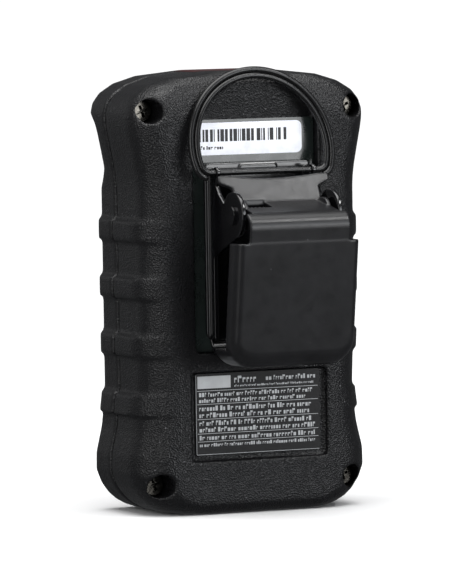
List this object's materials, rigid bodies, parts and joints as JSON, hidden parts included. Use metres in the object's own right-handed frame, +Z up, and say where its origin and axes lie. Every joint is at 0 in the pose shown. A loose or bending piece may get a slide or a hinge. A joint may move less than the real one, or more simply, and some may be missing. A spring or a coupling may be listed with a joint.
{
  "type": "portable gas detector",
  "caption": "Pocket single-gas detector with a waisted rubber-clad case, sprung belt clip, hanging ring, display, alarm lens and sensor inlet.",
  "frame": {"origin": "centre of the flat bottom face", "axes": "+Z up along the body towards the alarm lens, -Y out of the front face, +Y out of the back towards the clip"},
  "size_m": [0.0504, 0.0464, 0.0873],
  "materials": {
    "housing": "fine pebble, satin",
    "front_housing": "fine pebble, satin",
    "seal": "matt",
    "overlay": "fine texture",
    "window": "polished",
    "lcd": "reflective grey-green",
    "frame": "moulded",
    "zebra": "soft",
    "board": "solder mask",
    "button": "moulded",
    "steel": "plated",
    "spring_steel": "drawn wire",
    "buzzer": "moulded",
    "infrared": "polished dark red",
    "sensor": "moulded",
    "filter": "fine membrane",
    "cell": "sleeved",
    "tungsten": "sintered",
    "lens": "translucent dark red",
    "led": "clear",
    "brass": "knurled",
    "screw": "nickel plated",
    "bay_plate": "polished",
    "label": "coated paper",
    "nameplate": "printed plate",
    "clip_steel": "black gloss coat",
    "ring_steel": "black coated wire"
  },
  "bodies": {
    "housing": {"rear_shell": "housing", "front_shell": "front_housing", "shell_gasket": "seal", "front_overlay": "overlay", "display_window": "window", "lcd_module": "lcd", "lcd_holder": "frame", "zebra_strips": "zebra", "main_board": "board", "dome_switch": "steel", "buzzer": "buzzer", "buzzer_gasket": "seal", "infrared_window": "infrared", "sensor_cell": "sensor", "sensor_socket": "frame", "sensor_gasket": "seal", "sensor_filter": "filter", "sensor_grille": "frame", "battery_cell": "cell", "battery_contacts": "steel", "vibration_motor": "steel", "motor_bracket": "steel", "alarm_lens": "lens", "alarm_leds": "led", "screw_inserts": "brass", "case_screws": "screw", "label_plate": "bay_plate", "barcode_label": "label", "nameplate": "nameplate", "clip_base": "clip_steel", "clip_screws": "clip_steel", "clip_inserts": "brass", "pivot_pin": "clip_steel", "torsion_spring": "spring_steel"},
    "lever": {"clip_lever": "clip_steel", "jaw_pad": "seal"},
    "ring": {"suspension_ring": "ring_steel"},
    "button": {"test_button": "button"},
    "weight": {"motor_weight": "tungsten"}
  },
  "joints": [
    {"name": "clip_open", "type": "hinge", "parent": "housing", "child": "lever", "pos_m": [0, 0.0246, 0.059], "axis": [1, 0, 0], "range_deg": [0, 15], "stiffness_Nm_per_rad": 0.25, "springref_deg": -34.38, "deforming": ["torsion_spring"]},
    {"name": "ring_swing", "type": "hinge", "parent": "housing", "child": "ring", "pos_m": [0, 0.0166, 0.067], "axis": [1, 0, 0], "range_deg": [-118, 0]},
    {"name": "button_press", "type": "slide", "parent": "housing", "child": "button", "axis": [0, 1, 0], "range_m": [0, 0.0008], "stiffness_N_per_m": 2000, "springref_m": -0.0005},
    {"name": "motor_spin", "type": "hinge", "parent": "housing", "child": "weight", "pos_m": [0, 0, 0.062], "axis": [1, 0, 0], "continuous": true}
  ]
}
